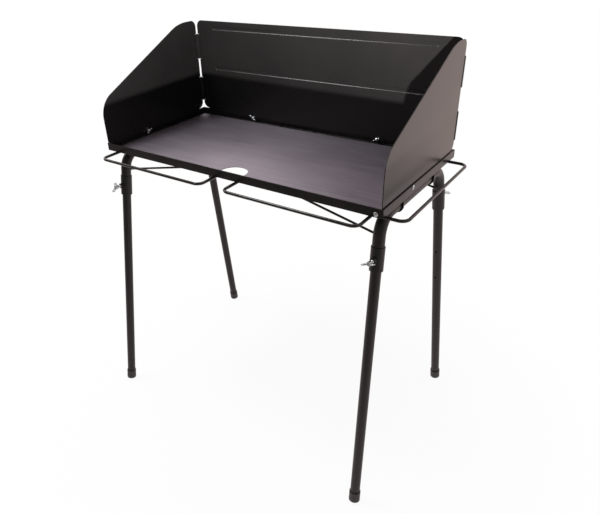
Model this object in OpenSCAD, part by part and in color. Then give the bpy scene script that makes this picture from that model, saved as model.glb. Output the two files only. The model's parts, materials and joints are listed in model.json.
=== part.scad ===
// Folding dutch oven cook table
// Angle frame with a loose steel cook plate, a hinged three-panel windscreen,
// two folding leg frames with telescoping feet and bent rod utensil rails.
// Millimetres, Z up, front of the table towards -Y, floor at Z = 0.

/* [Frame] */
// Outside width of the angle frame
frame_width = 900; // [860:5:940]
// Outside depth of the angle frame
frame_depth = 437; // [420:1:460]
// Height of the top of the frame lip above the floor
lip_height = 874; // [830:1:910]
// Height of the upright lip of the angle
lip_depth = 22; // [21.5:0.5:25]
// Width of the flange the plate rests on
flange_width = 30; // [29:0.5:34]
// Thickness of the angle
angle_thickness = 3; // [2.5:0.1:3.5]

/* [Cook plate] */
// Gap between the lip and the edge of the plate
plate_gap = 17; // [16.5:0.1:18]
// Thickness of the plate
plate_thickness = 3; // [2:0.1:3.5]
// Corner radius of the plate
plate_corner = 5; // [2:0.5:8]
// Radius of the finger notch at the front
notch_radius = 39; // [30:0.5:42]
// Distance of the notch centre behind the plate edge
notch_setback = 20; // [12:0.5:26]

/* [Windscreen] */
// Height of the windscreen above the lip
screen_height = 285; // [275:1:292]
// Gap between the lip and the lower panel edges
screen_gap = 2; // [1:0.1:3]
// Thickness of the sheet
sheet_thickness = 2; // [1.6:0.1:2.4]
// Play between a side panel and the lip
panel_play = 0.2; // [0.1:0.05:0.4]
// Height of the slope line above the lip at the front of a side panel
slope_start = 117; // [112:1:125]
// Angle of the sloped edge of a side panel
slope_angle = 25.6; // [24.6:0.1:27]
// Radius of the large front corner of a side panel
front_radius = 72; // [50:1:80]
// Radius where the slope meets the top edge
shoulder_radius = 150; // [100:5:170]
// Radius of the corners beside the hinges
corner_radius = 20; // [12:1:24]
// Set-back of the side panels from the front face of the frame
panel_setback = 0.5; // [0.5:0.1:4]
// Distance of the panel edges from the hinge line
edge_gap = 2; // [1.5:0.1:3]
// Height of the upper bead above the lip
upper_bead = 264; // [255:1:264]
// Height of the lower bead above the lip
lower_bead = 140; // [130:1:150]
// Width of a bead on the front face
bead_width = 12; // [9:0.5:14]
// Depth of a bead
bead_depth = 3; // [2:0.1:3]
// Distance of the bead ends inside the ends of the frame
bead_inset = 78; // [70:1:110]

/* [Screen fasteners] */
// Width of a fixing tab
tab_width = 40; // [34:1:46]
// Length of a fixing tab below the lip top
tab_drop = 12; // [11:0.1:13]
// Length of the skirt below the lip top
skirt_drop = 5; // [3:0.1:7]
// Distance of the side tabs in front of the centre line
side_tab = 60; // [50:1:70]
// Distance of the back tabs from the centre line
back_tab = 224; // [210:1:240]
// Distance of the bolt axis below the lip top
bolt_drop = 5.5; // [5:0.1:6]
// Diameter of the bolts
bolt_diameter = 5; // [4.5:0.1:5.5]
// Reach of the bolts past the inside of the lip
bolt_reach = 15; // [14.8:0.1:15.8]
// Radius swept by the wings of a wing nut
nut_reach = 12.3; // [11:0.1:12.8]
// Height of a wing nut
nut_height = 12; // [10:0.1:12.4]
// Distance of the corner bolt inside the right end of the frame
corner_bolt_inset = 18; // [14:0.5:40]
// Distance of the corner bolt below the lip top
corner_bolt_drop = 14; // [12:0.5:15]

/* [Hinges] */
// Height of a hinge
hinge_height = 75; // [65:1:80]
// Height of the lower hinge above the lip
lower_hinge = 28.5; // [24:0.5:32]
// Height of the upper hinge above the lip
upper_hinge = 166.5; // [155:0.5:175]
// Width of a hinge leaf from the pin axis
leaf_width = 24; // [18:0.5:28]
// Thickness of a hinge leaf
leaf_thickness = 1.5; // [1.2:0.1:2]
// Diameter of the knuckles
knuckle_diameter = 10; // [9:0.5:12]
// Diameter of the hinge pins
pin_diameter = 4; // [3.5:0.1:5]

/* [Leg frames] */
// Distance of the pivot axis inside the outer face of the frame
pivot_inset = 23.5; // [22.5:0.5:26]
// Distance of the pivot axis below the lip top
pivot_drop = 42; // [42:0.5:45]
// Half distance between the legs of one frame at the pivot axis
leg_half = 177; // [170:1:182]
// Splay of the legs towards front and rear
leg_splay = 8.7; // [6:0.1:10]
// Outward tilt of a leg frame
leg_tilt = 2.4; // [0:0.1:4]
// Bend radius of the upper tube at its centre line
bend_radius = 52; // [45:1:54]
// Outside diameter of the upper tube
upper_tube = 30; // [28:0.1:31]
// Outside diameter of the lower leg
lower_tube = 26.6; // [25:0.1:27]
// Wall of the lower leg
lower_wall = 2; // [1.5:0.1:3]
// Play between lower leg and upper tube
leg_play = 0.3; // [0.2:0.05:0.4]
// Outside diameter of a clamp collar
collar_diameter = 34; // [33:0.1:36]
// Start of a clamp collar along the leg
collar_start = 69; // [66:0.5:74]
// Length of a clamp collar
collar_length = 60; // [55:1:66]
// Top of the lower leg along the leg axis
lower_start = 87; // [86:0.5:90]
// Diameter of a foot cap
foot_diameter = 31; // [30:0.5:34]
// Radius of the dome under a foot cap
foot_dome = 24; // [20:0.5:30]
// Position of the upper set hole along the leg
set_hole_start = 277; // [255:1:290]
// Distance between the set holes
set_hole_step = 98; // [80:1:110]
// Diameter of the set holes
set_hole = 6; // [5:0.1:7]
// Distance of the hangers from the centre line
hanger_half = 95; // [80:1:105]

/* [Wing screws] */
// Diameter of the wing screws
screw_diameter = 8; // [7:0.1:8.5]
// Span of the wings
screw_span = 36; // [28:1:40]
// Distance of the wing hub from the leg axis
screw_hub = 36; // [33:0.5:40]

/* [Braces] */
// Diameter of the brace rods
brace_rod = 6; // [5:0.1:6.4]
// Position of the brace pins along the leg
brace_start = 55.7; // [54:0.1:57]
// Half distance between the brace arms
brace_half = 164; // [158:0.5:165]
// Distance of the brace bar from the centre line
bar_distance = 104; // [96:1:112]
// Distance of the brace bar below the flange
bar_drop = 4.2; // [4:0.1:6]
// Slope at which the bar leaves its catch
catch_slope = 44; // [42:0.5:46]
// Length of a catch behind the brace bar
catch_length = 36; // [32:0.5:40]
// Width of the tongue that is welded under the flange
tongue_width = 20; // [16:0.5:24]
// Thickness of the tongue
tongue_thickness = 3; // [2.5:0.1:4]
// Length of the tongue under the flange
tongue_lap = 10; // [8:0.5:14]
// Distance of the catch web inside the brace arm
web_gap = 16; // [14:0.5:18]
// Thickness of the catch web
web_thickness = 4; // [3:0.1:5]
// Height of the catch web at its back
web_height = 5; // [4:0.5:7]
// Depth of the hook below the jaw
hook_depth = 10; // [8:0.5:11]
// Reach of the hook in front of the bar
hook_reach = 6; // [5:0.1:6.5]

/* [Utensil rails] */
// Diameter of the rail rod
rail_rod = 8; // [7:0.1:9]
// Bend radius of the rail rod at its centre line
rail_bend = 20; // [14:1:26]
// Reach of the front rails in front of the frame
front_reach = 55.5; // [45:0.5:65]
// Reach of the side rail beside the frame
side_reach = 46; // [38:0.5:55]
// Distance of the inner ends of the front rails from the centre line
front_inner = 37; // [30:1:50]
// Distance of the outer ends of the front rails inside the ends of the frame
front_inset = 34; // [32:0.5:46]
// Distance of the front end of the side rail inside the frame
side_front_inset = 18.5; // [16.5:0.5:22.5]
// Distance of the rear end of the side rail inside the frame
side_rear_inset = 28.5; // [18.5:0.5:28.5]
// Length of the rail ends under the frame
rail_lap = 20; // [16:0.5:24]

/* [Hidden] */
$fn = 64;

half_width = frame_width / 2;
half_depth = frame_depth / 2;
flange_under = lip_height - lip_depth;
plate_level = flange_under + angle_thickness;
lip_inside_x = half_width - angle_thickness;
lip_inside_y = half_depth - angle_thickness;
plate_half_x = lip_inside_x - plate_gap;
plate_half_y = lip_inside_y - plate_gap;
corner_bolt = half_width - corner_bolt_inset;
corner_bolt_z = lip_height - corner_bolt_drop;
bead_reach = half_width - bead_inset;
front_outer = half_width - front_inset;
side_front = half_depth - side_front_inset;
side_rear = half_depth - side_rear_inset;

// Hinge line at the corner of the two leaf faces
side_inner = lip_inside_x - panel_play - sheet_thickness;
back_inner = lip_inside_y - sheet_thickness;
hinge_x = side_inner - leaf_thickness;
hinge_y = back_inner - leaf_thickness;
knuckle_radius = knuckle_diameter / 2;
knuckle_clear = knuckle_radius + 0.7;
knuckle_gap = 0.3;
pin_play = 0.05;
pin_head = 1.2;
hinge_relief = pin_head + 0.6;
nut_play = 0.5;
side_edge = hinge_y - edge_gap;
back_edge = hinge_x - edge_gap;
panel_front = -half_depth + panel_setback;
skirt_front = 1 - lip_inside_y;
skirt_rear = side_edge - corner_radius;
skirt_side = back_edge - corner_radius;
shoulder_y = -half_depth + (screen_height - slope_start) / tan(slope_angle);
bead_inner = (bead_width * bead_width / 4 + bead_depth * bead_depth) / (2 * bead_depth);
bead_axis = back_inner - (bead_inner - bead_depth);

// Leg frame layout
pivot_x = half_width - pivot_inset;
pivot_z = lip_height - pivot_drop;
bend_tangent = bend_radius * tan((90 - leg_splay) / 2);
upper_bore = lower_tube + 2 * leg_play;
collar_end = collar_start + collar_length;
screw_level = collar_start + collar_length / 2;
dome_level = (pivot_z - foot_dome) / (cos(leg_splay) * cos(leg_tilt));
leg_end = dome_level + foot_dome / 2;
hanger_play = 0.08;
bend_step = 0.05;
bend_overlap = 0.5;
weld_nut_top = collar_diameter / 2 + 8;

// Brace layout
pin_drop = brace_start * cos(leg_splay);
pin_line_y = leg_half + brace_start * sin(leg_splay);
pin_x = pivot_x + pin_drop * sin(leg_tilt);
pin_z = pivot_z - pin_drop * cos(leg_tilt);
bar_x = bar_distance;
bar_z = flange_under - bar_drop;
brace_angle = atan2(bar_z - pin_z, pin_x - bar_x);
brace_length = norm([pin_x - bar_x, bar_z - pin_z]);
brace_bend = 6;
bar_bend = 14;
brace_clear = 1;

// Sideways shift that centres the table over its floor area
foot_lean = sin(leg_tilt) * cos(leg_splay);
foot_low = dome_level + sqrt(foot_dome * foot_dome - foot_diameter * foot_diameter / 4);
foot_out = pivot_x + foot_low * foot_lean + foot_diameter / 2 * sqrt(1 - foot_lean * foot_lean);
side_out = half_width + side_reach + rail_rod / 2;
shift = (side_out - foot_out) / 2;

function unit(v) = v / norm(v);

module placed() {
    translate([-shift, 0, 0]) children();
}

// Sharp corner piece that is taken off to round one corner
module corner_trim(corner, before, after, radius) {
    u = unit(before - corner);
    w = unit(after - corner);
    half = acos(u * w) / 2;
    centre = corner + unit(u + w) * radius / sin(half);
    run = radius / tan(half);
    difference() {
        polygon([
            centre,
            centre + (corner + u * run - centre) * 1.1,
            corner + (corner - centre) * 0.1,
            centre + (corner + w * run - centre) * 1.1
        ]);
        translate(centre) circle(r = radius);
    }
}

module rounded_shape(points, radii) {
    count = len(points);
    difference() {
        polygon(points);
        for (i = [0 : count - 1]) {
            if (radii[i] > 0) {
                corner_trim(points[i], points[(i + count - 1) % count], points[(i + 1) % count], radii[i]);
            }
        }
    }
}

// Mitred length of angle, outer face at Y = 0, lip top at Z = 0
module angle_rail(length) {
    translate([0, 0, -lip_depth])
        linear_extrude(angle_thickness)
            polygon([
                [-length / 2, 0], [length / 2, 0],
                [length / 2 - flange_width, flange_width], [-length / 2 + flange_width, flange_width]
            ]);
    translate([0, 0, -lip_depth])
        linear_extrude(lip_depth)
            polygon([
                [-length / 2, 0], [length / 2, 0],
                [length / 2 - angle_thickness, angle_thickness],
                [-length / 2 + angle_thickness, angle_thickness]
            ]);
}

// Places children on a screen bolt axis, +Z pointing to the inside of the frame
module at_side_bolt() {
    translate([half_width, -side_tab, lip_height - bolt_drop]) rotate([0, -90, 0]) children();
}

module at_back_bolt() {
    translate([back_tab, half_depth, lip_height - bolt_drop]) rotate([90, 0, 0]) children();
}

module bolt_hole() {
    translate([0, 0, -1]) cylinder(d = bolt_diameter + 2 * pin_play, h = angle_thickness + 2);
}

module button_bolt(length) {
    cylinder(d = bolt_diameter, h = length);
    intersection() {
        translate([0, 0, -3.2]) cylinder(r = 5.6, h = 3.2);
        translate([0, 0, 4.4]) sphere(r = 7.6);
    }
}

module front_rail() {
    color("dimgray")
        difference() {
            translate([0, -half_depth, lip_height]) angle_rail(frame_width);
            translate([corner_bolt, -half_depth, corner_bolt_z]) rotate([-90, 0, 0]) bolt_hole();
        }
}

module rear_rail() {
    color("dimgray")
        difference() {
            translate([0, half_depth, lip_height]) rotate([0, 0, 180]) angle_rail(frame_width);
            at_back_bolt() bolt_hole();
            mirror([1, 0, 0]) at_back_bolt() bolt_hole();
        }
}

module side_rail() {
    difference() {
        translate([half_width, 0, lip_height]) rotate([0, 0, 90]) angle_rail(frame_depth);
        at_side_bolt() bolt_hole();
    }
}

module right_rail() {
    color("dimgray") side_rail();
}

module left_rail() {
    color("dimgray") mirror([1, 0, 0]) side_rail();
}

module cook_plate() {
    color("lightslategray")
        translate([0, 0, plate_level])
            linear_extrude(plate_thickness)
                difference() {
                    rounded_shape(
                        [
                            [-plate_half_x, -plate_half_y], [plate_half_x, -plate_half_y],
                            [plate_half_x, plate_half_y], [-plate_half_x, plate_half_y]
                        ],
                        [plate_corner, plate_corner, plate_corner, plate_corner]
                    );
                    translate([0, -plate_half_y + notch_setback]) circle(r = notch_radius);
                    translate([-notch_radius, -plate_half_y - 5])
                        square([2 * notch_radius, notch_setback + 5]);
                }
}

// Side panel outline, first axis along Y, second axis up from the lip top
module side_outline() {
    difference() {
        union() {
            rounded_shape(
                [
                    [panel_front, screen_gap], [side_edge, screen_gap],
                    [side_edge, screen_height], [shoulder_y, screen_height],
                    [panel_front, slope_start + panel_setback * tan(slope_angle)]
                ],
                [0, corner_radius, corner_radius, shoulder_radius, front_radius]
            );
            translate([-side_tab - tab_width / 2, -tab_drop])
                square([tab_width, tab_drop + screen_gap + 5]);
            translate([skirt_front, -skirt_drop])
                square([skirt_rear - skirt_front, skirt_drop + screen_gap + 1]);
        }
        for (level = [lower_hinge, upper_hinge]) {
            translate([hinge_y - knuckle_clear, level - hinge_relief])
                square([knuckle_clear, hinge_height + 2 * hinge_relief]);
        }
        translate([-side_tab, -bolt_drop]) circle(d = bolt_diameter + 2);
    }
}

module side_panel() {
    translate([side_inner, 0, lip_height])
        rotate([90, 0, 90]) linear_extrude(sheet_thickness) side_outline();
}

module right_panel() {
    color("darkslategray") side_panel();
}

module left_panel() {
    color("darkslategray") mirror([1, 0, 0]) side_panel();
}

module back_outline() {
    difference() {
        union() {
            rounded_shape(
                [
                    [-back_edge, screen_gap], [back_edge, screen_gap],
                    [back_edge, screen_height], [-back_edge, screen_height]
                ],
                [corner_radius, corner_radius, corner_radius, corner_radius]
            );
            for (side = [-1, 1]) {
                translate([side * back_tab - tab_width / 2, -tab_drop])
                    square([tab_width, tab_drop + screen_gap + 5]);
            }
            translate([-skirt_side, -skirt_drop])
                square([2 * skirt_side, skirt_drop + screen_gap + 1]);
        }
        for (side = [-1, 1]) {
            for (level = [lower_hinge, upper_hinge]) {
                translate([side * (hinge_x - knuckle_clear / 2) - knuckle_clear / 2, level - hinge_relief])
                    square([knuckle_clear, hinge_height + 2 * hinge_relief]);
            }
            translate([side * back_tab, -bolt_drop]) circle(d = bolt_diameter + 2 * pin_play);
        }
    }
}

// Round-ended bar that forms one side of a pressed bead
module bead_bar(level, radius) {
    translate([0, bead_axis, lip_height + level]) {
        rotate([0, 90, 0]) cylinder(r = radius, h = 2 * bead_reach, center = true);
        for (side = [-1, 1]) {
            translate([side * bead_reach, 0, 0]) sphere(r = radius);
        }
    }
}

module back_panel() {
    color("darkslategray")
        difference() {
            union() {
                translate([0, lip_inside_y, lip_height])
                    rotate([90, 0, 0]) linear_extrude(sheet_thickness) back_outline();
                intersection() {
                    union() {
                        bead_bar(upper_bead, bead_inner + sheet_thickness);
                        bead_bar(lower_bead, bead_inner + sheet_thickness);
                    }
                    translate([-frame_width, back_inner + sheet_thickness / 2, lip_height])
                        cube([2 * frame_width, 20, screen_height]);
                }
            }
            bead_bar(upper_bead, bead_inner);
            bead_bar(lower_bead, bead_inner);
        }
}

// One hinge knuckle with its strip of leaf, leaf towards -X with its face at Y = 0
module knuckle(low, high) {
    difference() {
        union() {
            translate([0, 0, low]) cylinder(r = knuckle_radius, h = high - low);
            translate([-knuckle_clear - 2, 0, low]) cube([knuckle_clear + 2, leaf_thickness, high - low]);
        }
        translate([0, 0, low - 1]) cylinder(d = pin_diameter + 2 * pin_play, h = high - low + 2);
    }
}

module leaf_plate() {
    translate([-leaf_width, 0, 0])
        cube([leaf_width - knuckle_clear, leaf_thickness, hinge_height]);
}

module fixed_leaf() {
    leaf_plate();
    knuckle(0, hinge_height / 3 - knuckle_gap / 2);
    knuckle(hinge_height * 2 / 3 + knuckle_gap / 2, hinge_height);
}

module moving_leaf() {
    mirror([1, 0, 0]) rotate([0, 0, 90]) {
        leaf_plate();
        knuckle(hinge_height / 3 + knuckle_gap / 2, hinge_height * 2 / 3 - knuckle_gap / 2);
    }
}

module hinge_pin() {
    translate([0, 0, -pin_head / 2]) cylinder(d = pin_diameter, h = hinge_height + pin_head);
    for (low = [-pin_head, hinge_height]) {
        translate([0, 0, low]) cylinder(r = knuckle_radius - 1, h = pin_head);
    }
}

module at_hinges() {
    for (level = [lower_hinge, upper_hinge]) {
        translate([hinge_x, hinge_y, lip_height + level]) children();
    }
}

module right_fixed_leaves() {
    color("gray") at_hinges() fixed_leaf();
}

module left_fixed_leaves() {
    color("gray") mirror([1, 0, 0]) at_hinges() fixed_leaf();
}

module right_moving_leaves() {
    color("gray") at_hinges() moving_leaf();
}

module left_moving_leaves() {
    color("gray") mirror([1, 0, 0]) at_hinges() moving_leaf();
}

module right_hinge_pins() {
    color("silver") at_hinges() hinge_pin();
}

module left_hinge_pins() {
    color("silver") mirror([1, 0, 0]) at_hinges() hinge_pin();
}

module screen_bolts() {
    length = angle_thickness + bolt_reach;
    color("silver") {
        at_side_bolt() button_bolt(length);
        mirror([1, 0, 0]) at_side_bolt() button_bolt(length);
        at_back_bolt() button_bolt(length);
        mirror([1, 0, 0]) at_back_bolt() button_bolt(length);
    }
}

module corner_bolt_head() {
    color("silver")
        translate([corner_bolt, -half_depth, corner_bolt_z])
            rotate([-90, 0, 0]) button_bolt(angle_thickness + 3);
}

// Pair of wings that rise from a hub, axis along Z
module wings(reach, height, tip, thickness) {
    rotate([90, 0, 0])
        translate([0, 0, -thickness / 2])
            linear_extrude(thickness)
                for (side = [0, 1]) {
                    mirror([side, 0]) {
                        polygon([
                            [0, 0.4], [reach * 0.45, 0.4], [reach - 0.1 * tip, height - 1.4 * tip],
                            [reach - 1.6 * tip, height - 0.2 * tip], [reach * 0.3, height * 0.55],
                            [0, height * 0.5]
                        ]);
                        translate([reach - tip, height - tip]) circle(r = tip);
                    }
                }
}

module wing_nut() {
    difference() {
        union() {
            cylinder(r1 = nut_reach * 0.46, r2 = nut_reach * 0.4, h = nut_height * 0.55);
            wings(nut_reach, nut_height, nut_height * 0.26, 2.6);
        }
        translate([0, 0, -1]) cylinder(d = bolt_diameter + 2 * nut_play, h = nut_height + 2);
    }
}

module right_wing_nut() {
    color("silver")
        at_side_bolt()
            translate([0, 0, half_width - side_inner]) rotate([0, 0, 62]) wing_nut();
}

module left_wing_nut() {
    color("silver")
        mirror([1, 0, 0]) at_side_bolt()
            translate([0, 0, half_width - side_inner]) rotate([0, 0, 60]) wing_nut();
}

module back_right_wing_nut() {
    color("silver")
        at_back_bolt()
            translate([0, 0, half_depth - back_inner]) rotate([0, 0, 30]) wing_nut();
}

module back_left_wing_nut() {
    color("silver")
        mirror([1, 0, 0]) at_back_bolt()
            translate([0, 0, half_depth - back_inner]) rotate([0, 0, 35]) wing_nut();
}

// Right side places things as drawn, left side is the same part turned half a turn
module on_side(side) {
    rotate([0, 0, side > 0 ? 0 : 180]) children();
}

module leg_plane() {
    translate([pivot_x, 0, pivot_z]) rotate([0, -leg_tilt, 0]) children();
}

// Leg axis points down along -Z, end is -1 or 1 along Y
module leg_axis(end) {
    leg_plane() translate([0, end * leg_half, 0]) rotate([end * leg_splay, 0, 0]) children();
}

// Line across the leg, +Z pointing away from the middle of the leg frame
module leg_cross(end, level) {
    leg_axis(end) translate([0, 0, -level]) rotate([-90 * end, 0, 0]) children();
}

module hanger() {
    rise = flange_under - pivot_z;
    rotate([90, 0, 0])
        translate([0, 0, -2.5])
            linear_extrude(5)
                difference() {
                    union() {
                        circle(r = upper_tube / 2 + 4);
                        translate([-14, 0]) square([14 + upper_tube / 2 + 4, rise]);
                    }
                    circle(r = upper_tube / 2 + hanger_play);
                    translate([-upper_tube, rise]) square([2 * upper_tube, upper_tube]);
                }
}

module leg_hangers(side) {
    color("dimgray")
        on_side(side)
            for (end = [-1, 1]) {
                translate([pivot_x, end * hanger_half, pivot_z]) hanger();
            }
}

module left_leg_hangers() {
    leg_hangers(-1);
}

module right_leg_hangers() {
    leg_hangers(1);
}

// Bend of a leg frame, a hair thinner than the straight lengths it runs into
module tube_bend(diameter) {
    translate([0, leg_half - bend_tangent, -bend_radius])
        rotate([90, 0, 90])
            rotate([0, 0, leg_splay])
                rotate_extrude(angle = 90 - leg_splay)
                    translate([bend_radius, 0]) circle(d = diameter - 2 * bend_step);
}

// Bent tube run of one leg frame, open ends extended by extra
module tube_run(diameter, extra) {
    straight = 2 * (leg_half - bend_tangent + bend_overlap);
    leg_plane() {
        rotate([90, 0, 0]) cylinder(d = diameter, h = straight, center = true);
        tube_bend(diameter);
        mirror([0, 1, 0]) tube_bend(diameter);
    }
    for (end = [-1, 1]) {
        leg_axis(end)
            translate([0, 0, -collar_end - extra])
                cylinder(d = diameter, h = collar_end + extra - bend_tangent + bend_overlap);
    }
}

module leg_frame(side) {
    color("dimgray")
        on_side(side)
            difference() {
                tube_run(upper_tube, 0);
                tube_run(upper_bore, 1);
                for (end = [-1, 1]) {
                    leg_cross(end, screw_level) cylinder(d = screw_diameter + 0.6, h = upper_tube);
                    leg_plane()
                        translate([0, end * pin_line_y, -pin_drop])
                            rotate([90 * end, 0, 0])
                                cylinder(d = brace_rod + 2 * pin_play, h = upper_tube);
                }
            }
}

module left_leg_frame() {
    leg_frame(-1);
}

module right_leg_frame() {
    leg_frame(1);
}

module collar(side, end) {
    color("dimgray")
        on_side(side)
            difference() {
                union() {
                    leg_axis(end)
                        translate([0, 0, -collar_end]) cylinder(d = collar_diameter, h = collar_length);
                    leg_cross(end, screw_level) cylinder(r = 8, h = weld_nut_top, $fn = 6);
                }
                leg_axis(end)
                    translate([0, 0, -collar_end - 1]) cylinder(d = upper_tube, h = collar_length + 2);
                leg_cross(end, screw_level)
                    cylinder(d = screw_diameter + 2 * pin_play, h = weld_nut_top + 2);
            }
}

module front_left_collar() {
    collar(-1, 1);
}

module front_right_collar() {
    collar(1, -1);
}

module rear_left_collar() {
    collar(-1, -1);
}

module rear_right_collar() {
    collar(1, 1);
}

module lower_leg(side, end) {
    color("dimgray")
        on_side(side)
            difference() {
                leg_axis(end)
                    translate([0, 0, -leg_end]) cylinder(d = lower_tube, h = leg_end - lower_start);
                leg_axis(end)
                    translate([0, 0, -leg_end - 1])
                        cylinder(d = lower_tube - 2 * lower_wall, h = leg_end - lower_start + 2);
                for (level = [set_hole_start, set_hole_start + set_hole_step]) {
                    leg_axis(end)
                        translate([0, 0, -level])
                            rotate([90 * end, 0, 0]) cylinder(d = set_hole, h = lower_tube);
                }
            }
}

module front_left_leg() {
    lower_leg(-1, 1);
}

module front_right_leg() {
    lower_leg(1, -1);
}

module rear_left_leg() {
    lower_leg(-1, -1);
}

module rear_right_leg() {
    lower_leg(1, 1);
}

module foot_cap(side, end) {
    color("black")
        on_side(side)
            leg_axis(end)
                translate([0, 0, -dome_level])
                    difference() {
                        intersection() {
                            translate([0, 0, -foot_dome])
                                cylinder(d = foot_diameter, h = 1.5 * foot_dome);
                            sphere(r = foot_dome);
                        }
                        translate([0, 0, -foot_dome / 2]) cylinder(d = lower_tube, h = 2 * foot_dome);
                    }
}

module front_left_foot() {
    foot_cap(-1, 1);
}

module front_right_foot() {
    foot_cap(1, -1);
}

module rear_left_foot() {
    foot_cap(-1, -1);
}

module rear_right_foot() {
    foot_cap(1, 1);
}

module wing_screw(side, end, turn) {
    start = lower_tube / 2 + 0.3;
    color("silver")
        on_side(side)
            leg_cross(end, screw_level)
                rotate([0, 0, turn]) {
                    translate([0, 0, start]) cylinder(d = screw_diameter, h = screw_hub - start + 2);
                    translate([0, 0, screw_hub]) cylinder(r1 = 6.6, r2 = 5.6, h = 9);
                    translate([0, 0, screw_hub]) wings(screw_span / 2, 17, 4.6, 3.4);
                }
}

module front_left_screw() {
    wing_screw(-1, 1, 70);
}

module front_right_screw() {
    wing_screw(1, -1, 15);
}

module rear_left_screw() {
    wing_screw(-1, -1, 40);
}

module rear_right_screw() {
    wing_screw(1, 1, 25);
}

module rod_bend(radius, diameter) {
    rotate_extrude(angle = 90) translate([radius, 0]) circle(d = diameter);
}

// Bent rod brace in its own plane, arms along -X, pins along Y at X = 0
module brace(side) {
    inner_end = pin_line_y - upper_tube / 2 + 6;
    color("dimgray")
        on_side(side)
            translate([pin_x, 0, pin_z])
                rotate([0, brace_angle, 0]) {
                    translate([-brace_length, 0, 0])
                        rotate([90, 0, 0])
                            cylinder(d = brace_rod, h = 2 * (brace_half - bar_bend), center = true);
                    for (end = [0, 1]) {
                        mirror([0, end, 0]) {
                            translate([bar_bend - brace_length, brace_half - bar_bend, 0])
                                rotate([0, 0, 90]) rod_bend(bar_bend, brace_rod);
                            translate([bar_bend - brace_length, brace_half, 0])
                                rotate([0, 90, 0])
                                    cylinder(d = brace_rod, h = brace_length - bar_bend - brace_bend);
                            translate([-brace_bend, brace_half + brace_bend, 0])
                                rotate([0, 0, -90]) rod_bend(brace_bend, brace_rod);
                            translate([0, brace_half + brace_bend, 0])
                                rotate([-90, 0, 0])
                                    cylinder(d = brace_rod, h = inner_end - brace_half - brace_bend);
                        }
                    }
                }
}

module left_brace() {
    brace(-1);
}

module right_brace() {
    brace(1);
}

// Hook for the brace bar: a tongue under the flange and a web with a sloping jaw
module catch_plate() {
    clear = brace_rod / 2 + brace_clear;
    wall = bar_x + clear;
    jaw = bar_z + clear * (tan(catch_slope) - 1 / cos(catch_slope));
    heel = bar_x + catch_length;
    tongue_in = brace_half - brace_rod / 2 - web_gap;
    translate([heel - tongue_width, tongue_in, flange_under - tongue_thickness])
        cube([tongue_width, half_depth - flange_width + tongue_lap - tongue_in, tongue_thickness]);
    translate([0, tongue_in + web_thickness, flange_under])
        rotate([90, 0, 0])
            linear_extrude(web_thickness)
                polygon([
                    [heel, 0], [wall, 0], [wall, jaw - flange_under],
                    [wall - hook_reach, jaw - flange_under - hook_reach * tan(catch_slope)],
                    [wall - hook_reach, jaw - flange_under - hook_depth],
                    [wall + web_thickness, jaw - flange_under - hook_depth],
                    [heel, -web_height]
                ]);
}

module catches(side) {
    color("dimgray")
        on_side(side)
            for (end = [0, 1]) {
                mirror([0, end, 0]) catch_plate();
            }
}

module left_catches() {
    catches(-1);
}

module right_catches() {
    catches(1);
}

// U-shaped rod, ends at Y = 0, run at Y = -reach
module bent_rail(length, reach) {
    for (x = [0, length]) {
        translate([x, 0, 0]) rotate([90, 0, 0]) cylinder(d = rail_rod, h = reach - rail_bend);
    }
    translate([rail_bend, -reach, 0])
        rotate([0, 90, 0]) cylinder(d = rail_rod, h = length - 2 * rail_bend);
    translate([rail_bend, rail_bend - reach, 0]) rotate([0, 0, 180]) rod_bend(rail_bend, rail_rod);
    translate([length - rail_bend, rail_bend - reach, 0])
        rotate([0, 0, 270]) rod_bend(rail_bend, rail_rod);
}

module front_rail_rod() {
    translate([front_inner, rail_lap - half_depth, flange_under - rail_rod / 2])
        bent_rail(front_outer - front_inner, front_reach + rail_lap);
}

module front_right_utensil_rail() {
    color("dimgray") front_rail_rod();
}

module front_left_utensil_rail() {
    color("dimgray") mirror([1, 0, 0]) front_rail_rod();
}

module side_utensil_rail() {
    color("dimgray")
        translate([half_width - rail_lap, -side_front, flange_under - rail_rod / 2])
            rotate([0, 0, 90]) bent_rail(side_front + side_rear, side_reach + rail_lap);
}

placed() front_rail();
placed() rear_rail();
placed() left_rail();
placed() right_rail();
placed() cook_plate();
placed() back_panel();
placed() left_panel();
placed() right_panel();
placed() left_fixed_leaves();
placed() right_fixed_leaves();
placed() left_moving_leaves();
placed() right_moving_leaves();
placed() left_hinge_pins();
placed() right_hinge_pins();
placed() screen_bolts();
placed() corner_bolt_head();
placed() left_wing_nut();
placed() right_wing_nut();
placed() back_left_wing_nut();
placed() back_right_wing_nut();
placed() left_leg_hangers();
placed() right_leg_hangers();
placed() left_leg_frame();
placed() right_leg_frame();
placed() front_left_collar();
placed() front_right_collar();
placed() rear_left_collar();
placed() rear_right_collar();
placed() front_left_leg();
placed() front_right_leg();
placed() rear_left_leg();
placed() rear_right_leg();
placed() front_left_foot();
placed() front_right_foot();
placed() rear_left_foot();
placed() rear_right_foot();
placed() front_left_screw();
placed() front_right_screw();
placed() rear_left_screw();
placed() rear_right_screw();
placed() left_brace();
placed() right_brace();
placed() left_catches();
placed() right_catches();
placed() front_left_utensil_rail();
placed() front_right_utensil_rail();
placed() side_utensil_rail();
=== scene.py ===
import json
import math

import bpy
from mathutils import Matrix, Vector


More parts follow.
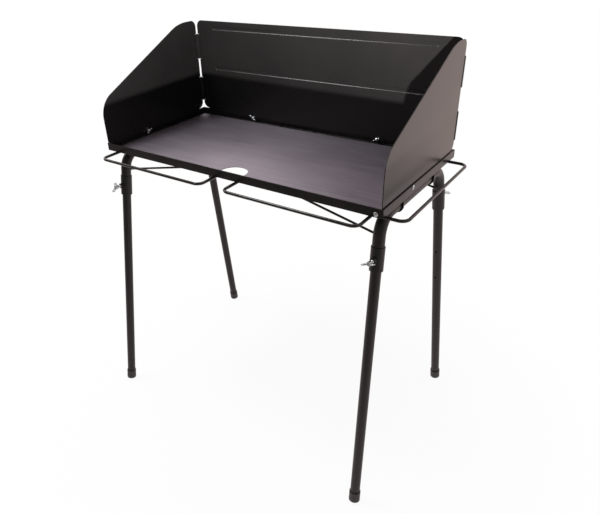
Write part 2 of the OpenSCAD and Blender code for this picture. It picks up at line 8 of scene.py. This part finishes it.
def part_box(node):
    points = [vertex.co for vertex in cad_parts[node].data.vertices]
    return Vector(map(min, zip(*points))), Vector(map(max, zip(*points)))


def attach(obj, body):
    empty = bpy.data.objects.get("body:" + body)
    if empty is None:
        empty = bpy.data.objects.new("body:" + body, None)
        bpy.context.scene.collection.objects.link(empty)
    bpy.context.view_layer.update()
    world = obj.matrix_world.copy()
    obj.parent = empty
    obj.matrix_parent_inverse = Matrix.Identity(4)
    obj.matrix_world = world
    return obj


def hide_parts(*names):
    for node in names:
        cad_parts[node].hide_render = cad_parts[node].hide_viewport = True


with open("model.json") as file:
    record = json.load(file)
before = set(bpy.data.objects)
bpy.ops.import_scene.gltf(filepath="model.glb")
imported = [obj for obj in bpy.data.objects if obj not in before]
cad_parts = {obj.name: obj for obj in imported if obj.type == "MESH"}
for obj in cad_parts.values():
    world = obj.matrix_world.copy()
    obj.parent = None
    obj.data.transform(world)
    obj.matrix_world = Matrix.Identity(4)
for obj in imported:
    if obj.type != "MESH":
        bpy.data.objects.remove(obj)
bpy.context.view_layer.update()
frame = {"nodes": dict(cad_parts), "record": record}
nodes = frame["nodes"]
record = frame["record"]
bodyOf = {n: b for b, members in record["behaviour"]["bodies"].items() for n in members}
slotOf = {part["node"]: part["material_slot"] for part in record["subparts"]}
print("frame loaded,", len(nodes), "nodes")

# view of the photograph, image taken as 600 x 514
viewSettings = {
    "place": (0.88517, -1.22975, 1.40714),
    "turn": (1.03395, 0.0403, 0.62147),
    "sensor": 36.0,
    "lens": 33.333,
    "shift": (0.0513, 0.0025),
    "near": 0.05,
}


def addCamera(settings):
    data = bpy.data.cameras.new("tableView")
    data.sensor_width = settings["sensor"]
    data.lens = settings["lens"]
    data.shift_x, data.shift_y = settings["shift"]
    data.clip_start = settings["near"]
    camera = bpy.data.objects.new("tableView", data)
    camera.location = settings["place"]
    camera.rotation_euler = settings["turn"]
    bpy.context.scene.collection.objects.link(camera)
    bpy.context.scene.camera = camera


addCamera(viewSettings)
print("camera set")


# node helpers

def addNode(tree, kind, **values):
    node = tree.nodes.new(kind)
    for key, value in values.items():
        setattr(node, key, value)
    return node


def setInputs(node, **values):
    for key, value in values.items():
        node.inputs[key.replace("_", " ")].default_value = value
    return node


def newGroup(name, inputs, outputs):
    group = bpy.data.node_groups.new(name, "ShaderNodeTree")
    for label, kind in inputs:
        group.interface.new_socket(label, in_out="INPUT", socket_type=kind)
    for label, kind in outputs:
        group.interface.new_socket(label, in_out="OUTPUT", socket_type=kind)
    return group, group.nodes.new("NodeGroupInput"), group.nodes.new("NodeGroupOutput")


def mathNode(tree, operation, first, second=None):
    node = addNode(tree, "ShaderNodeMath", operation=operation)
    for index, value in enumerate((first, second)):
        if value is None:
            continue
        if isinstance(value, (int, float)):
            node.inputs[index].default_value = value
        else:
            tree.links.new(value, node.inputs[index])
    return node.outputs[0]


def rangeNode(tree, value, low, high, start, end):
    node = addNode(tree, "ShaderNodeMapRange")
    setInputs(node, From_Min=low, From_Max=high, To_Min=start, To_Max=end)
    tree.links.new(value, node.inputs["Value"])
    return node.outputs["Result"]


def colorMix(tree, mask, first, second):
    node = addNode(tree, "ShaderNodeMix", data_type="RGBA")
    tree.links.new(mask, node.inputs[0])
    for index, value in ((6, first), (7, second)):
        if isinstance(value, tuple):
            node.inputs[index].default_value = (*value, 1.0)
        else:
            tree.links.new(value, node.inputs[index])
    return node.outputs[2]


def noiseNode(tree, vector, scale, detail, roughness):
    node = addNode(tree, "ShaderNodeTexNoise")
    setInputs(node, Detail=detail, Roughness=roughness)
    tree.links.new(vector, node.inputs["Vector"])
    if isinstance(scale, (int, float)):
        node.inputs["Scale"].default_value = scale
    else:
        tree.links.new(scale, node.inputs["Scale"])
    return node.outputs["Fac"]


# shared effects

grainNoise = {
    "grain": (3.0, 0.6), "peel": (1.0, 0.4), "patch": (4.0, 0.55),  # detail and roughness
    "grainShare": 0.4, "peelShare": 0.6, "patchRange": (0.32, 0.7), "speckRange": (0.58, 0.75),
}
streakNoise = {
    "tone": (1.0, 3.0, 0.6), "fine": (2.7, 1.0, 0.5),  # scale, detail and roughness
    "toneRange": (0.3, 0.7), "scratchRange": (0.7, 0.78),
}


def coatGrainGroup(settings):
    # fine grain on a soft orange peel, and slow patches, for coated, bare and moulded faces
    group, source, result = newGroup(
        "coatGrain",
        (("Vector", "NodeSocketVector"), ("Grain Scale", "NodeSocketFloat"),
         ("Peel Scale", "NodeSocketFloat"), ("Patch Scale", "NodeSocketFloat")),
        (("Height", "NodeSocketFloat"), ("Patch", "NodeSocketFloat"), ("Speck", "NodeSocketFloat")))
    vector = source.outputs["Vector"]
    grain = noiseNode(group, vector, source.outputs["Grain Scale"], *settings["grain"])
    peel = noiseNode(group, vector, source.outputs["Peel Scale"], *settings["peel"])
    patch = noiseNode(group, vector, source.outputs["Patch Scale"], *settings["patch"])
    height = mathNode(group, "ADD", mathNode(group, "MULTIPLY", grain, settings["grainShare"]),
                      mathNode(group, "MULTIPLY", peel, settings["peelShare"]))
    group.links.new(height, result.inputs["Height"])
    group.links.new(rangeNode(group, patch, *settings["patchRange"], 0.0, 1.0), result.inputs["Patch"])
    group.links.new(rangeNode(group, grain, *settings["speckRange"], 0.0, 1.0), result.inputs["Speck"])
    return group


def drawnStreakGroup(settings):
    # lines left by rolling or drawing, along the axis with the smallest scale
    group, source, result = newGroup(
        "drawnStreak",
        (("Vector", "NodeSocketVector"), ("Stretch", "NodeSocketVector")),
        (("Tone", "NodeSocketFloat"), ("Scratch", "NodeSocketFloat")))
    stretched = addNode(group, "ShaderNodeVectorMath", operation="MULTIPLY")
    group.links.new(source.outputs["Vector"], stretched.inputs[0])
    group.links.new(source.outputs["Stretch"], stretched.inputs[1])
    tone = noiseNode(group, stretched.outputs[0], *settings["tone"])
    fine = noiseNode(group, stretched.outputs[0], *settings["fine"])
    group.links.new(rangeNode(group, tone, *settings["toneRange"], 0.0, 1.0), result.inputs["Tone"])
    group.links.new(rangeNode(group, fine, *settings["scratchRange"], 0.0, 1.0), result.inputs["Scratch"])
    return group


coatGrain = coatGrainGroup(grainNoise)
drawnStreak = drawnStreakGroup(streakNoise)


def placeGroup(tree, group, vector, **values):
    node = addNode(tree, "ShaderNodeGroup", node_tree=group)
    tree.links.new(vector, node.inputs["Vector"])
    return setInputs(node, **values)


def placeGrain(tree, vector, settings):
    return placeGroup(tree, coatGrain, vector, Grain_Scale=settings["grain"], Peel_Scale=settings["peel"],
                      Patch_Scale=settings["patch"])


def newMaterial(name):
    material = bpy.data.materials.new(name)
    material.use_nodes = True
    tree = material.node_tree
    place = addNode(tree, "ShaderNodeTexCoord").outputs["Object"]
    return material, tree, tree.nodes["Principled BSDF"], place


edgeLimits = (0.995, 0.9)  # how far the rounded normal agrees with the face, from open face to edge
edgeWearAndHighlight = (0.55, 1.0)  # how much of the paler edge colour shows, from plain to speck: wear through the coat and a painted highlight


def edgeMask(tree, radius):
    # 1 along sharp edges, 0 on open faces
    bevel = addNode(tree, "ShaderNodeBevel", samples=4)
    bevel.inputs["Radius"].default_value = radius
    flat = addNode(tree, "ShaderNodeNewGeometry")
    dot = addNode(tree, "ShaderNodeVectorMath", operation="DOT_PRODUCT")
    tree.links.new(bevel.outputs["Normal"], dot.inputs[0])
    tree.links.new(flat.outputs["Normal"], dot.inputs[1])
    return rangeNode(tree, dot.outputs["Value"], *edgeLimits, 0.0, 1.0)


def addBump(tree, shader, height, strength, distance):
    bump = addNode(tree, "ShaderNodeBump")
    setInputs(bump, Strength=strength, Distance=distance)
    tree.links.new(height, bump.inputs["Height"])
    tree.links.new(bump.outputs["Normal"], shader.inputs["Normal"])


# black finishes, one set of values for each kind of part
paintSettings = {
    "screen_black": {
        "dark": (0.0066, 0.0062, 0.0061), "pale": (0.0088, 0.0081, 0.0079), "edge": (0.018, 0.0165, 0.016),
        "rough": (0.21, 0.27), "ior": 1.31, "grain": 1500.0, "peel": 260.0, "patch": 6.0,
        "bump": 0.3, "depth": 0.00004, "edgeRadius": 0.0008, "stretch": (60.0, 60.0, 3.0), "streak": 0.01,
    },
    "frame_black": {
        "dark": (0.0050, 0.0045, 0.0043), "pale": (0.0095, 0.0083, 0.0077), "edge": (0.03, 0.026, 0.024),
        "rough": (0.24, 0.34), "ior": 1.31, "grain": 1300.0, "peel": 330.0, "patch": 9.0,
        "bump": 0.3, "depth": 0.00005, "edgeRadius": 0.0009, "stretch": (5.0, 220.0, 220.0), "streak": 0.03,
    },
    "rod_black": {
        "dark": (0.0036, 0.0034, 0.0033), "pale": (0.0062, 0.0056, 0.0053), "edge": (0.02, 0.018, 0.017),
        "rough": (0.13, 0.19), "ior": 1.44, "grain": 1300.0, "peel": 420.0, "patch": 14.0,
        "bump": 0.25, "depth": 0.00004, "edgeRadius": 0.0006, "stretch": (60.0, 60.0, 60.0), "streak": 0.02,
    },
    "leg_black": {
        "dark": (0.0050, 0.0047, 0.0046), "pale": (0.0090, 0.0082, 0.0080), "edge": (0.03, 0.027, 0.026),
        "rough": (0.34, 0.44), "ior": 1.4, "grain": 1300.0, "peel": 380.0, "patch": 10.0,
        "bump": 0.35, "depth": 0.00005, "edgeRadius": 0.0008, "stretch": (260.0, 260.0, 3.0), "streak": 0.05,
    },
}


def blackPaint(name, settings):
    material, tree, shader, place = newMaterial(name)
    coat = placeGrain(tree, place, settings)
    lines = placeGroup(tree, drawnStreak, place, Stretch=settings["stretch"])
    tone = colorMix(tree, coat.outputs["Patch"], settings["dark"], settings["pale"])
    # paler along sharp edges: partly wear through the coat, partly a painted highlight
    edge = mathNode(tree, "MULTIPLY", edgeMask(tree, settings["edgeRadius"]),
                    rangeNode(tree, coat.outputs["Speck"], 0.0, 1.0, *edgeWearAndHighlight))
    tree.links.new(colorMix(tree, edge, tone, settings["edge"]), shader.inputs["Base Color"])
    rough = rangeNode(tree, coat.outputs["Patch"], 0.0, 1.0, *settings["rough"])
    streak = mathNode(tree, "MULTIPLY", lines.outputs["Tone"], settings["streak"])
    tree.links.new(mathNode(tree, "ADD", rough, streak), shader.inputs["Roughness"])
    setInputs(shader, IOR=settings["ior"])
    addBump(tree, shader, coat.outputs["Height"], settings["bump"], settings["depth"])
    return material


plateSettings = {
    "dark": (0.126, 0.111, 0.134), "pale": (0.385, 0.351, 0.401), "edge": (0.6, 0.58, 0.62), "metal": 0.9,
    "rough": (0.5, 0.57), "stretch": (5.0, 130.0, 60.0), "grain": 2200.0, "peel": 120.0, "patch": 3.2,
    "offset": 0.04, "scoured": (0.05, 0.36),  # middle of the painted light left of X = 0, and where it fades to painted shade
    "patchShare": 0.26, "streakShare": 0.2, "scouredShare": 0.56, "scratch": 0.35,
    "bump": 0.14, "depth": 0.00002, "edgeRadius": 0.0011, "streakHeight": 0.6, "grainHeight": 0.4,
}


def rolledSteel(name, settings):
    material, tree, shader, place = newMaterial(name)
    lines = placeGroup(tree, drawnStreak, place, Stretch=settings["stretch"])
    grain = placeGrain(tree, place, settings)
    # painted light in the middle of the plate, painted shade towards both ends
    split = addNode(tree, "ShaderNodeSeparateXYZ")
    tree.links.new(place, split.inputs[0])
    across = mathNode(tree, "ABSOLUTE", mathNode(tree, "ADD", split.outputs["X"], settings["offset"]))
    scoured = rangeNode(tree, across, *settings["scoured"], 1.0, 0.0)
    tone = mathNode(tree, "ADD", mathNode(tree, "MULTIPLY", grain.outputs["Patch"], settings["patchShare"]),
                    mathNode(tree, "MULTIPLY", lines.outputs["Tone"], settings["streakShare"]))
    tone = mathNode(tree, "ADD", tone, mathNode(tree, "MULTIPLY", scoured, settings["scouredShare"]))
    base = colorMix(tree, tone, settings["dark"], settings["pale"])
    marks = mathNode(tree, "MULTIPLY", lines.outputs["Scratch"], settings["scratch"])
    # scratches are real marks; the paler colour along sharp edges is a painted highlight
    bright = mathNode(tree, "MAXIMUM", marks, edgeMask(tree, settings["edgeRadius"]))
    tree.links.new(colorMix(tree, bright, base, settings["edge"]), shader.inputs["Base Color"])
    rough = rangeNode(tree, lines.outputs["Tone"], 0.0, 1.0, *settings["rough"])
    tree.links.new(rough, shader.inputs["Roughness"])
    setInputs(shader, Metallic=settings["metal"])
    ridges = mathNode(tree, "MULTIPLY", lines.outputs["Tone"], settings["streakHeight"])
    pits = mathNode(tree, "MULTIPLY", grain.outputs["Height"], settings["grainHeight"])
    addBump(tree, shader, mathNode(tree, "ADD", ridges, pits), settings["bump"], settings["depth"])
    return material


zincSettings = {
    "dark": (0.40, 0.455, 0.48), "pale": (0.62, 0.69, 0.70), "edge": (0.8, 0.88, 0.9), "metal": 1.0,
    "rough": (0.36, 0.2), "grain": 3200.0, "peel": 700.0, "patch": 180.0,
    "bump": 0.3, "depth": 0.00004, "edgeRadius": 0.0004,
}


def zincPlate(name, settings):
    material, tree, shader, place = newMaterial(name)
    grain = placeGrain(tree, place, settings)
    base = colorMix(tree, grain.outputs["Patch"], settings["dark"], settings["pale"])
    # paler along sharp edges: a painted highlight
    edge = edgeMask(tree, settings["edgeRadius"])
    tree.links.new(colorMix(tree, edge, base, settings["edge"]), shader.inputs["Base Color"])
    rough = rangeNode(tree, grain.outputs["Patch"], 0.0, 1.0, *settings["rough"])
    tree.links.new(rough, shader.inputs["Roughness"])
    setInputs(shader, Metallic=settings["metal"])
    addBump(tree, shader, grain.outputs["Height"], settings["bump"], settings["depth"])
    return material


capSettings = {
    "dark": (0.0075, 0.0073, 0.0075), "pale": (0.014, 0.0135, 0.0135),
    "rough": (0.42, 0.58), "grain": 1700.0, "peel": 500.0, "patch": 40.0, "bump": 0.4, "depth": 0.00008,
}


def mouldedCap(name, settings):
    material, tree, shader, place = newMaterial(name)
    grain = placeGrain(tree, place, settings)
    base = colorMix(tree, grain.outputs["Patch"], settings["dark"], settings["pale"])
    tree.links.new(base, shader.inputs["Base Color"])
    rough = rangeNode(tree, grain.outputs["Patch"], 0.0, 1.0, *settings["rough"])
    tree.links.new(rough, shader.inputs["Roughness"])
    addBump(tree, shader, grain.outputs["Height"], settings["bump"], settings["depth"])
    return material


finishes = {name: blackPaint(name, values) for name, values in paintSettings.items()}
finishes["plate_steel"] = rolledSteel("plate_steel", plateSettings)
finishes["zinc"] = zincPlate("zinc", zincSettings)
finishes["foot_black"] = mouldedCap("foot_black", capSettings)
for name, node in nodes.items():
    node.data.materials.clear()
    node.data.materials.append(finishes[slotOf[name]])
print("finishes made:", ", ".join(finishes))


# piece helpers

def activate(piece):
    bpy.ops.object.select_all(action="DESELECT")
    piece.select_set(True)
    bpy.context.view_layer.objects.active = piece


def applyModifier(piece, kind, **values):
    activate(piece)
    bpy.ops.object.modifier_add(type=kind)
    modifier = piece.modifiers[-1]
    for key, value in values.items():
        setattr(modifier, key, value)
    bpy.ops.object.modifier_apply(modifier=modifier.name)


def dress(piece, node):
    # the piece stands for the node, with its finish and on its body
    piece.data.materials.clear()
    piece.data.materials.append(finishes[slotOf[node]])
    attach(piece, bodyOf[node])
    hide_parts(node)


# broken edges of sheet, angle and plate: width in metres, for each node
edgeWidths = {
    "front_rail": 0.0006, "rear_rail": 0.0006, "left_rail": 0.0006, "right_rail": 0.0006,
    "cook_plate": 0.0005, "left_panel": 0.0004, "right_panel": 0.0004, "back_panel": 0.0004,
    "left_fixed_leaves": 0.0003, "right_fixed_leaves": 0.0003,
    "left_moving_leaves": 0.0003, "right_moving_leaves": 0.0003,
    "left_leg_hangers": 0.0004, "right_leg_hangers": 0.0004, "left_catches": 0.0004, "right_catches": 0.0004,
}
edgeSettings = {"merge": 0.000002, "flat": math.radians(0.3), "sharp": math.radians(32), "segments": 2}


def pieceName(node):
    words = node.split("_")
    return words[0] + "".join(word.capitalize() for word in words[1:])


def brokenEdges(node, width, settings):
    piece = bpy.data.objects.new(pieceName(node), nodes[node].data.copy())
    bpy.context.scene.collection.objects.link(piece)
    activate(piece)
    bpy.ops.mesh.customdata_custom_splitnormals_clear()
    bpy.ops.object.mode_set(mode="EDIT")
    bpy.ops.mesh.select_all(action="SELECT")
    bpy.ops.mesh.remove_doubles(threshold=settings["merge"])
    bpy.ops.mesh.dissolve_limited(angle_limit=settings["flat"])
    bpy.ops.object.mode_set(mode="OBJECT")
    bpy.ops.object.shade_smooth_by_angle(angle=settings["sharp"])
    applyModifier(piece, "BEVEL", width=width, segments=settings["segments"], limit_method="ANGLE",
                  angle_limit=settings["sharp"], use_clamp_overlap=False, harden_normals=True)
    dress(piece, node)


for name, width in edgeWidths.items():
    brokenEdges(name, width, edgeSettings)
print("edges broken on", len(edgeWidths), "pieces")


# turned and cast hardware

wingEnd = 0.9  # share of the reach from which a vertex counts as the end of a wing


def axisPlace(node, joint):
    # matrix on the turning axis of a node with X along its wings, and where the node starts on the axis
    spot, axis = Vector(joint["pos_m"]), Vector(joint["axis"]).normalized()
    offsets = [nodes[node].matrix_world @ vertex.co - spot for vertex in nodes[node].data.vertices]
    radial = [offset - axis * offset.dot(axis) for offset in offsets]
    reach = max(offset.length for offset in radial)
    first = max(radial, key=lambda offset: offset.length)
    outer = [offset for offset in radial if offset.length > wingEnd * reach and offset.dot(first) > 0]
    across = sum(outer, Vector()).normalized()
    place = Matrix((across, axis.cross(across), axis)).transposed().to_4x4()
    place.translation = spot
    return place, min(offset.dot(axis) for offset in offsets)


def combine(piece, tool, operation):
    applyModifier(piece, "BOOLEAN", operation=operation, object=tool, solver="EXACT")
    activate(tool)
    bpy.ops.object.delete()


def joinPieces(pieces):
    activate(pieces[0])
    for piece in pieces:
        piece.select_set(True)
    if len(pieces) > 1:
        bpy.ops.object.join()
    bpy.ops.object.transform_apply(location=True, rotation=True, scale=True)
    return pieces[0]


def addCylinder(radius, low, high, sides=40):
    bpy.ops.object.select_all(action="DESELECT")
    bpy.ops.mesh.primitive_cylinder_add(vertices=sides, radius=radius, depth=high - low,
                                        location=(0.0, 0.0, (low + high) / 2))
    return bpy.context.object


# where an arm starts, as shares of reach and height, and its height and ear as shares of tip and thickness
wingShape = {"startOut": 0.25, "startUp": 0.32, "armHeight": 1.7, "earThick": 0.62}
smoothAngle = math.radians(38)


def castWings(settings):
    # hub, two arms and two ears melted into one casting that stands on Z = 0
    reach, height, tip, thick = (settings[key] for key in ("reach", "height", "tip", "thick"))
    foot, top = settings["hub"]
    bpy.ops.object.select_all(action="DESELECT")
    bpy.ops.mesh.primitive_cone_add(vertices=48, radius1=foot, radius2=top, depth=settings["hubHeight"],
                                    location=(0.0, 0.0, settings["hubHeight"] / 2))
    solids = [bpy.context.object]
    start = Vector((wingShape["startOut"] * reach, 0.0, wingShape["startUp"] * height))
    end = Vector((reach - tip, 0.0, height - tip))
    run = end - start
    for side in (-1, 1):
        turn = -side * math.atan2(run.z, run.x)
        middle = (start + end) / 2
        bpy.ops.mesh.primitive_cube_add(size=1.0, location=(side * middle.x, 0.0, middle.z),
                                        rotation=(0.0, turn, 0.0),
                                        scale=(run.length, thick, wingShape["armHeight"] * tip))
        solids.append(bpy.context.object)
        bpy.ops.mesh.primitive_uv_sphere_add(segments=32, ring_count=16, radius=1.0,
                                             location=(side * end.x, 0.0, end.z),
                                             scale=(tip, wingShape["earThick"] * thick, tip))
        solids.append(bpy.context.object)
    casting = joinPieces(solids)
    applyModifier(casting, "REMESH", mode="VOXEL", voxel_size=settings["voxel"])
    applyModifier(casting, "SMOOTH", factor=0.5, iterations=settings["smooth"])
    return casting


# height of the ridge and how far the core laps over its foot, as shares of the pitch, and steps in one turn
threadShape = {"ridge": 0.5, "lap": 0.05, "steps": 24}


def threadedRod(settings, low, high):
    # core with a ridge wound round it, along Z
    pitch, crest = settings["pitch"], settings["thread"]
    height, steps = threadShape["ridge"] * pitch, threadShape["steps"]
    root = crest - height
    rod = addCylinder(root + threadShape["lap"] * pitch, low, high)
    bpy.ops.object.select_all(action="DESELECT")
    bpy.ops.mesh.primitive_circle_add(vertices=4, radius=height, location=(root, 0.0, low + height),
                                      rotation=(math.radians(90), 0.0, 0.0))
    ridge = bpy.context.object
    bpy.ops.object.transform_apply(location=True, rotation=True, scale=True)
    turns = int((high - low) / pitch) - 1
    applyModifier(ridge, "SCREW", axis="Z", angle=2 * math.pi, screw_offset=pitch, iterations=turns,
                  steps=steps, render_steps=steps, use_normal_calculate=True)
    bpy.ops.object.mode_set(mode="EDIT")
    bpy.ops.mesh.select_all(action="SELECT")
    bpy.ops.mesh.fill_holes(sides=4)
    bpy.ops.mesh.normals_make_consistent(inside=False)
    bpy.ops.object.mode_set(mode="OBJECT")
    return joinPieces([rod, ridge])


def settle(piece, name, place):
    # brings a piece made on the Z axis to its place on the table
    piece.name = piece.data.name = name
    piece.matrix_world = place @ piece.matrix_world
    activate(piece)
    bpy.ops.object.transform_apply(location=True, rotation=True, scale=True)
    bpy.ops.object.shade_smooth_by_angle(angle=smoothAngle)


jointOf = {joint["child"]: joint for joint in record["behaviour"]["joints"]}

nutSettings = {
    "reach": 0.0123, "height": 0.012, "tip": 0.0034, "thick": 0.0027, "hub": (0.0057, 0.0049),
    "hubHeight": 0.0068, "voxel": 0.0003, "smooth": 4, "bore": 0.003, "boreCut": (-0.01, 0.03),
}


def wingNut(node, settings):
    place, low = axisPlace(node, jointOf[bodyOf[node]])
    nut = castWings(settings)
    combine(nut, addCylinder(settings["bore"], *settings["boreCut"]), "DIFFERENCE")
    settle(nut, pieceName(node), place @ Matrix.Translation((0.0, 0.0, low)))
    dress(nut, node)


screwSettings = {
    "reach": 0.018, "height": 0.017, "tip": 0.0048, "thick": 0.0035, "hub": (0.0066, 0.0056),
    "hubHeight": 0.009, "voxel": 0.0004, "smooth": 4, "hubStart": 0.036, "lap": 0.002,
    "thread": 0.004, "pitch": 0.00125,
}


def wingScrew(node, settings):
    place, low = axisPlace(node, jointOf[bodyOf[node]])
    head = castWings(settings)
    head.location.z = settings["hubStart"]
    screw = joinPieces([threadedRod(settings, low, settings["hubStart"] + settings["lap"]), head])
    settle(screw, pieceName(node), place)
    dress(screw, node)


boltSettings = {
    "head": 0.0056, "headHeight": 0.0032, "dome": 0.0076, "domeLevel": 0.0044, "socket": 0.0018,
    "socketDepth": 0.0016, "lap": 0.001, "thread": 0.0025, "pitch": 0.0008,
    "screenLength": 0.018, "cornerLength": 0.006,
}


def buttonBolt(settings, length):
    # round head with a socket below Z = 0, thread above
    height = settings["headHeight"]
    head = addCylinder(settings["head"], -height, 0.0, sides=48)
    bpy.ops.mesh.primitive_uv_sphere_add(segments=96, ring_count=64, radius=settings["dome"],
                                         location=(0.0, 0.0, settings["domeLevel"]))
    combine(head, bpy.context.object, "INTERSECT")
    socket = addCylinder(settings["socket"], -2 * height, settings["socketDepth"] - height, sides=6)
    combine(head, socket, "DIFFERENCE")
    return joinPieces([head, threadedRod(settings, -settings["lap"], length)])


def boltGroup(node, settings, places, length):
    bolts = []
    for place in places:
        bolt = buttonBolt(settings, length)
        bolt.matrix_world = place
        bolts.append(bolt)
    bolts = joinPieces(bolts)
    settle(bolts, pieceName(node), Matrix())
    dress(bolts, node)


def boltPlace(spot, axis, rail):
    # on the line through the spot, with the head on the outer face of the rail
    low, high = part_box(rail)
    place = Vector(axis).to_track_quat("Z", "X").to_matrix().to_4x4()
    place.translation = [(low if along > 0 else high)[side] if along else spot[side]
                         for side, along in enumerate(axis)]
    return place


# body of each screen bolt's nut, and the rail that the bolt goes through
boltRails = {
    "left_nut": "left_rail", "right_nut": "right_rail",
    "back_left_nut": "rear_rail", "back_right_nut": "rear_rail",
}

for name in ("left_wing_nut", "right_wing_nut", "back_left_wing_nut", "back_right_wing_nut"):
    wingNut(name, nutSettings)
for name in ("front_left_screw", "front_right_screw", "rear_left_screw", "rear_right_screw"):
    wingScrew(name, screwSettings)
screenPlaces = [boltPlace(jointOf[nut]["pos_m"], jointOf[nut]["axis"], rail)
                for nut, rail in boltRails.items()]
boltGroup("screen_bolts", boltSettings, screenPlaces, boltSettings["screenLength"])
cornerMiddle = [(low + high) / 2 for low, high in zip(*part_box("corner_bolt_head"))]
cornerPlace = boltPlace(cornerMiddle, (0.0, 1.0, 0.0), "front_rail")
boltGroup("corner_bolt_head", boltSettings, [cornerPlace], boltSettings["cornerLength"])
print("wing nuts, wing screws and bolts made")


# floor, light and background
stageSettings = {
    "floor": (0.86, 0.86, 0.86), "seen": (0.9, 1.0), "fade": (0.35, 1.1), "world": 0.62, "side": 14.0,
    "mirrored": (1.0, 0.86, 0.83), "dim": (0.3, 0.26, 0.25),
    "floorDim": (-0.6, -1.8), "worldDim": (0.05, -0.5),  # from the back to the front of the studio
}


def seenRay(tree):
    ray = addNode(tree, "ShaderNodeLightPath")
    camera = mathNode(tree, "MAXIMUM", ray.outputs["Is Camera Ray"], ray.outputs["Is Glossy Ray"])
    return mathNode(tree, "MAXIMUM", camera, ray.outputs["Is Transmission Ray"])


def seenColor(tree, settings, vector, limits):
    # white to the eye; in reflections a little warm behind the table and dim in front of it
    glossy = addNode(tree, "ShaderNodeLightPath").outputs["Is Glossy Ray"]
    split = addNode(tree, "ShaderNodeSeparateXYZ")
    tree.links.new(vector, split.inputs[0])
    front = rangeNode(tree, split.outputs["Y"], *limits, 0.0, 1.0)
    mirrored = colorMix(tree, front, settings["mirrored"], settings["dim"])
    return colorMix(tree, glossy, (1.0, 1.0, 1.0), mirrored)


def addFloor(settings):
    bpy.ops.object.select_all(action="DESELECT")
    bpy.ops.mesh.primitive_plane_add(size=settings["side"], location=(0.0, 0.0, 0.0))
    floor = bpy.context.object
    floor.name = "studioFloor"
    material = bpy.data.materials.new("paleFloor")
    material.use_nodes = True
    tree = material.node_tree
    tree.nodes.remove(tree.nodes["Principled BSDF"])
    matte = addNode(tree, "ShaderNodeBsdfDiffuse")
    matte.inputs["Color"].default_value = (*settings["floor"], 1.0)
    glow = addNode(tree, "ShaderNodeEmission")
    place = addNode(tree, "ShaderNodeTexCoord").outputs["Object"]
    tree.links.new(seenColor(tree, settings, place, settings["floorDim"]), glow.inputs["Color"])
    mix = addNode(tree, "ShaderNodeMixShader")
    distance = addNode(tree, "ShaderNodeVectorMath", operation="LENGTH")
    tree.links.new(place, distance.inputs[0])
    white = rangeNode(tree, distance.outputs["Value"], *settings["fade"], *settings["seen"])
    tree.links.new(mathNode(tree, "MULTIPLY", seenRay(tree), white), mix.inputs[0])
    tree.links.new(matte.outputs[0], mix.inputs[1])
    tree.links.new(glow.outputs[0], mix.inputs[2])
    tree.links.new(mix.outputs[0], tree.nodes["Material Output"].inputs["Surface"])
    floor.data.materials.append(material)


def addWorld(settings):
    world = bpy.data.worlds.new("studioWorld")
    bpy.context.scene.world = world
    world.use_nodes = True
    tree = world.node_tree
    dim = tree.nodes["Background"]
    dim.inputs["Color"].default_value = (1.0, 1.0, 1.0, 1.0)
    dim.inputs["Strength"].default_value = settings["world"]
    white = addNode(tree, "ShaderNodeBackground")
    direction = addNode(tree, "ShaderNodeTexCoord").outputs["Generated"]
    tree.links.new(seenColor(tree, settings, direction, settings["worldDim"]), white.inputs["Color"])
    mix = addNode(tree, "ShaderNodeMixShader")
    tree.links.new(seenRay(tree), mix.inputs[0])
    tree.links.new(dim.outputs[0], mix.inputs[1])
    tree.links.new(white.outputs[0], mix.inputs[2])
    tree.links.new(mix.outputs[0], tree.nodes["World Output"].inputs["Surface"])


lampSettings = {
    "overheadLamp": {"place": (-0.95, -0.35, 2.7), "aim": (0.0, 0.0, 0.85), "size": 0.55, "power": 25.0},
    "rearLamp": {"place": (-1.2, 1.5, 2.2), "aim": (-0.1, 0.0, 0.86), "size": 1.2, "power": 7.0},
    "leftLamp": {"place": (-2.4, -0.1, 2.2), "aim": (0.0, 0.0, 0.8), "size": 1.4, "power": 13.0},
    "rightLamp": {"place": (1.3, 2.0, 0.75), "aim": (0.45, 0.0, 1.0), "size": 1.3, "power": 1.9,
                  "color": (1.0, 0.66, 0.56)},
}
# key lamp that is flagged off below a shallow rise, so that only the upper screen is lit
keySettings = {
    "place": (0.71, -1.0, 0.943), "radius": 0.008, "power": 300.0,
    "rise": (0.03, 0.15), "strength": (0.8, 1.25),
}


def addLamp(name, settings):
    data = bpy.data.lights.new(name, "AREA")
    data.shape = "SQUARE"
    data.size = settings["size"]
    data.energy = settings["power"]
    data.color = settings.get("color", (1.0, 1.0, 1.0))
    lamp = bpy.data.objects.new(name, data)
    lamp.location = settings["place"]
    aim = Vector(settings["aim"]) - Vector(settings["place"])
    lamp.rotation_euler = aim.to_track_quat("-Z", "Y").to_euler()
    bpy.context.scene.collection.objects.link(lamp)


def addKeyLamp(settings):
    data = bpy.data.lights.new("keyLamp", "POINT")
    data.shadow_soft_size = settings["radius"]
    data.energy = settings["power"]
    data.use_nodes = True
    tree = data.node_tree
    split = addNode(tree, "ShaderNodeSeparateXYZ")
    tree.links.new(addNode(tree, "ShaderNodeNewGeometry").outputs["Incoming"], split.inputs[0])
    above = mathNode(tree, "GREATER_THAN", split.outputs["Z"], settings["rise"][0])
    strength = rangeNode(tree, split.outputs["Z"], *settings["rise"], *settings["strength"])
    tree.links.new(mathNode(tree, "MULTIPLY", above, strength), tree.nodes["Emission"].inputs["Strength"])
    lamp = bpy.data.objects.new("keyLamp", data)
    lamp.location = settings["place"]
    lamp.visible_glossy = False  # no glare in the gloss of the panels
    bpy.context.scene.collection.objects.link(lamp)


addFloor(stageSettings)
addWorld(stageSettings)
addKeyLamp(keySettings)
for name, settings in lampSettings.items():
    addLamp(name, settings)
bpy.context.scene.view_settings.view_transform = "Standard"
print("stage lit")
